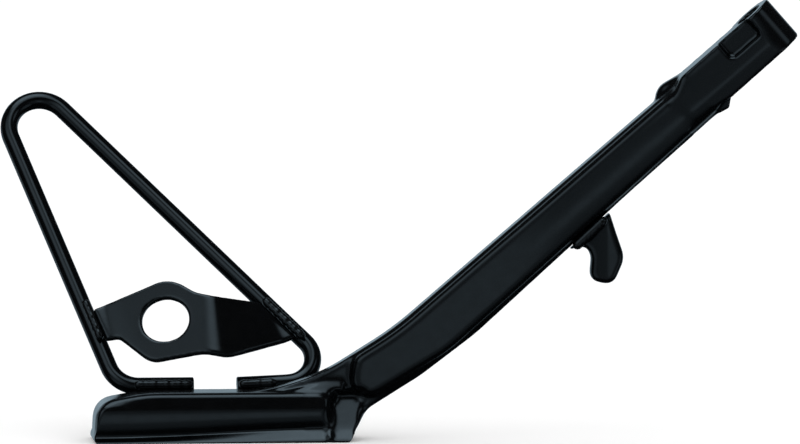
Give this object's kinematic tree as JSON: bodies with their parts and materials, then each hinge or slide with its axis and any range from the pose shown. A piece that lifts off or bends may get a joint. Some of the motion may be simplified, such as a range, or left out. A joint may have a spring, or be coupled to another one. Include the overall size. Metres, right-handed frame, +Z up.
{
  "type": "motorcycle kickstand",
  "caption": "Forged motorcycle side stand leg with a pivot eye, flat foot, bent-bar foot loop, bumper bracket and spring hook.",
  "frame": {"origin": "centre of the pivot bore, midway between the lug's two cheeks", "axes": "+Z up with the sole flat on the ground, +X from the foot towards the pivot, -Y the side that the bumper bracket faces"},
  "size_m": [0.2991, 0.0922, 0.167],
  "materials": {
    "forging_coat": "gloss black powder coat over forged steel",
    "wire_coat": "gloss black powder coat over drawn bar",
    "sheet_coat": "gloss black powder coat over pressed sheet",
    "hook_coat": "gloss black powder coat over forged steel",
    "weld_coat": "gloss black powder coat over weld bead"
  },
  "bodies": {
    "root": {"leg_forging": "forging_coat", "foot_loop": "wire_coat", "bumper_bracket": "sheet_coat", "spring_hook": "hook_coat", "foot_weld_left": "weld_coat", "foot_weld_right": "weld_coat", "bracket_weld_left": "weld_coat", "bracket_weld_right": "weld_coat", "hook_weld": "weld_coat"}
  },
  "joints": []
}
